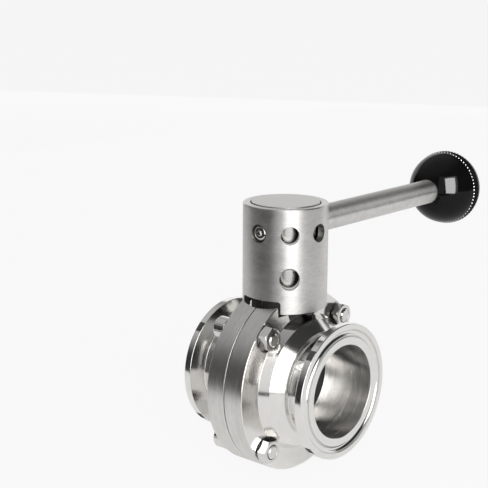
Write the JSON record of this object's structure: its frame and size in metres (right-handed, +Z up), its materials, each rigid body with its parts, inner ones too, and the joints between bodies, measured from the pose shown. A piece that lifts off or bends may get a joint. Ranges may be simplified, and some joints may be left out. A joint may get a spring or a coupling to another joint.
{
  "type": "butterfly valve",
  "caption": "Sanitary butterfly valve for 1.5 inch tube, clamp ferrule ends, split bolted body, rubber seat and lift-to-turn lever with ball knob.",
  "frame": {"origin": "where the pipe's axis crosses the stem's axis, in the middle of the body", "axes": "+X along the pipe's axis, out of the front ferrule; +Y along the lever when the valve is shut; +Z up the stem's axis"},
  "size_m": [0.0558, 0.1575, 0.1072],
  "materials": {
    "polished_steel": "polished stainless steel",
    "brushed_steel": "fine turned and brushed stainless steel",
    "bolt_steel": "bright stainless steel",
    "spring_steel": "drawn spring wire",
    "seat_rubber": "smooth moulded rubber",
    "bush_plastic": "turned white plastic",
    "knob_plastic": "glossy black moulded plastic",
    "insert_brass": "turned brass"
  },
  "bodies": {
    "valve_body": {"body_front": "polished_steel", "body_rear": "polished_steel", "seat_ring": "seat_rubber", "upper_bush": "bush_plastic", "lower_bush": "bush_plastic", "stem_seal": "seat_rubber", "thrust_washer": "bush_plastic", "bolt_upper_near": "bolt_steel", "bolt_lower_near": "bolt_steel", "bolt_upper_far": "bolt_steel", "bolt_lower_far": "bolt_steel", "nut_upper_near": "bolt_steel", "nut_lower_near": "bolt_steel", "nut_upper_far": "bolt_steel", "nut_lower_far": "bolt_steel"},
    "stem": {"valve_disc": "polished_steel", "retaining_washer": "bolt_steel", "retaining_screw": "bolt_steel", "lift_spring": "spring_steel"},
    "handle": {"handle_sleeve": "brushed_steel", "handle_cap": "brushed_steel", "handle_core": "polished_steel", "lever_rod": "brushed_steel", "set_screw": "bolt_steel", "ball_knob": "knob_plastic", "knob_insert": "insert_brass"}
  },
  "joints": [
    {"name": "quarter_turn", "type": "hinge", "parent": "valve_body", "child": "stem", "pos_m": [0, 0, 0], "axis": [0, 0, 1], "range_deg": [0, 90]},
    {"name": "handle_lift", "type": "slide", "parent": "stem", "child": "handle", "axis": [0, 0, 1], "range_m": [0, 0.006], "stiffness_N_per_m": 1500, "springref_m": -0.006, "deforming": ["lift_spring"]}
  ]
}
